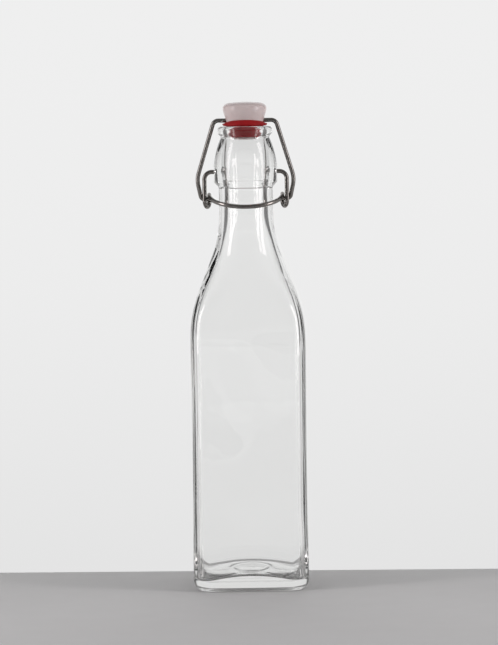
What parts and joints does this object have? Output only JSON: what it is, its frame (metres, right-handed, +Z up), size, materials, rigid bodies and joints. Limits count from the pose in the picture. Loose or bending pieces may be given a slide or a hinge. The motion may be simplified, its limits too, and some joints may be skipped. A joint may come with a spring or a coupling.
{
  "type": "swing-top bottle",
  "caption": "Slim square clear-glass bottle with a round neck, closed by a hinged wire bail and lever that press down a plastic stopper with a rubber gasket.",
  "frame": {"origin": "middle of the base, on the surface that the bottle stands on", "axes": "+Z up the bottle's axis, +X towards the right-hand wire pivot, -Y towards the front, where the lever's handle lies"},
  "size_m": [0.062, 0.062, 0.2615],
  "materials": {
    "clear_glass": "clear, polished by moulding, slightly wavy",
    "steel_wire": "bright drawn stainless wire",
    "white_plastic": "satin moulded polypropylene",
    "red_rubber": "soft satin rubber"
  },
  "bodies": {
    "bottle": {"bottle": "clear_glass"},
    "lever": {"lever_wire": "steel_wire"},
    "bail": {"bail_wire": "steel_wire"},
    "stopper": {"stopper": "white_plastic", "gasket": "red_rubber"}
  },
  "joints": [
    {"name": "lever_pivot", "type": "hinge", "parent": "bottle", "child": "lever", "pos_m": [0, 0, 0.224], "axis": [-1, 0, 0], "range_deg": [0, 90]},
    {"name": "bail_pivot", "type": "hinge", "parent": "lever", "child": "bail", "pos_m": [0, 0.0015, 0.20934], "axis": [-1, 0, 0], "range_deg": [-63, 0]},
    {"name": "stopper_pivot", "type": "hinge", "parent": "bail", "child": "stopper", "pos_m": [0, 0, 0.2516], "axis": [-1, 0, 0], "range_deg": [-27, 0]}
  ],
  "couplings": [
    {"joint": "bail_pivot", "follows": "lever_pivot", "ratio": -0.7},
    {"joint": "stopper_pivot", "follows": "lever_pivot", "ratio": -0.3}
  ]
}
